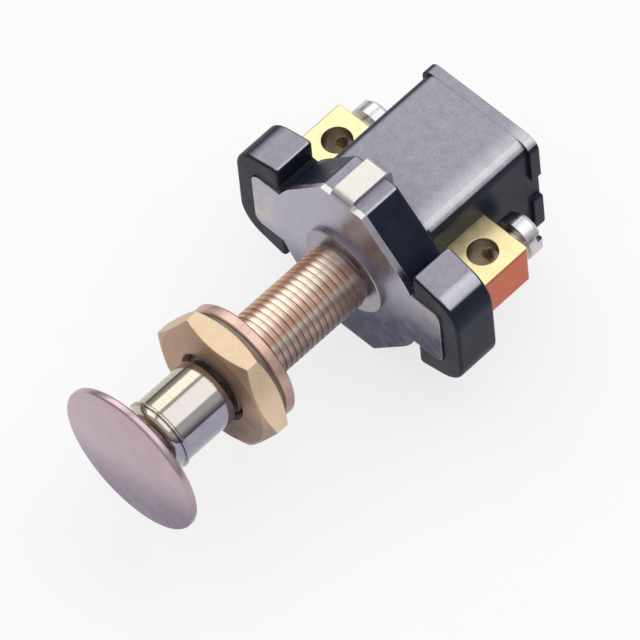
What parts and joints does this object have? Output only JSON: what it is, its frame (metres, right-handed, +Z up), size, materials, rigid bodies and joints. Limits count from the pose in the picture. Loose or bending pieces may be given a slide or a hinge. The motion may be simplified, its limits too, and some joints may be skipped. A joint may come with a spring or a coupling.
{
  "type": "push-pull switch",
  "caption": "Panel-mounted push-pull switch: chrome mushroom knob on a long threaded bush with nut and washers, lobed flange, moulded box and brass pillar terminals.",
  "frame": {"origin": "where the switch's axis meets the front face of the mounting plate", "axes": "+Y along the axis towards the back of the box, knob at -Y, +X to the right seen from the knob, +Z up"},
  "size_m": [0.0418, 0.0708, 0.0332],
  "materials": {
    "black_moulding": "moulded, semi-gloss black",
    "zinc_plate": "dull zinc plate",
    "nickel_brass": "nickel-washed brass, threaded",
    "yellow_brass": "turned brass",
    "brown_brass": "toned brass",
    "bright_steel": "bright zinc plate",
    "chrome": "polished chrome plate",
    "brown_fibre": "pressed fibre",
    "copper": "bare copper",
    "bronze": "spring bronze"
  },
  "bodies": {
    "switch_body": {"housing": "black_moulding", "mounting_plate": "zinc_plate", "threaded_bush": "nickel_brass", "lock_washer": "bright_steel", "panel_washer": "brown_brass", "rear_cover": "black_moulding", "cover_rivets": "bright_steel", "left_terminal": "yellow_brass", "right_terminal": "yellow_brass", "left_contact_strip": "bronze", "right_contact_strip": "bronze", "left_contact_rivet": "copper", "right_contact_rivet": "copper", "detent_spring": "bright_steel"},
    "plunger": {"knob": "chrome", "plunger_rod": "bright_steel", "contact_spool": "brown_fibre", "contact_ring": "copper", "spool_washer": "bright_steel", "rod_clip": "bright_steel"},
    "nut": {"face_nut": "yellow_brass"},
    "left_screw": {"left_clamp_screw": "bright_steel"},
    "right_screw": {"right_clamp_screw": "bright_steel"}
  },
  "joints": [
    {"name": "plunger_slide", "type": "slide", "parent": "switch_body", "child": "plunger", "axis": [0, -1, 0], "range_m": [0, 0.007], "deforming": ["detent_spring"]},
    {"name": "nut_turn", "type": "hinge", "parent": "switch_body", "child": "nut", "pos_m": [0, -0.0239, 0], "axis": [0, 1, 0], "continuous": true},
    {"name": "left_screw_turn", "type": "hinge", "parent": "switch_body", "child": "left_screw", "pos_m": [-0.01365, 0.0184, 0], "axis": [0, 1, 0], "continuous": true},
    {"name": "right_screw_turn", "type": "hinge", "parent": "switch_body", "child": "right_screw", "pos_m": [0.01365, 0.0184, 0], "axis": [0, 1, 0], "continuous": true}
  ]
}
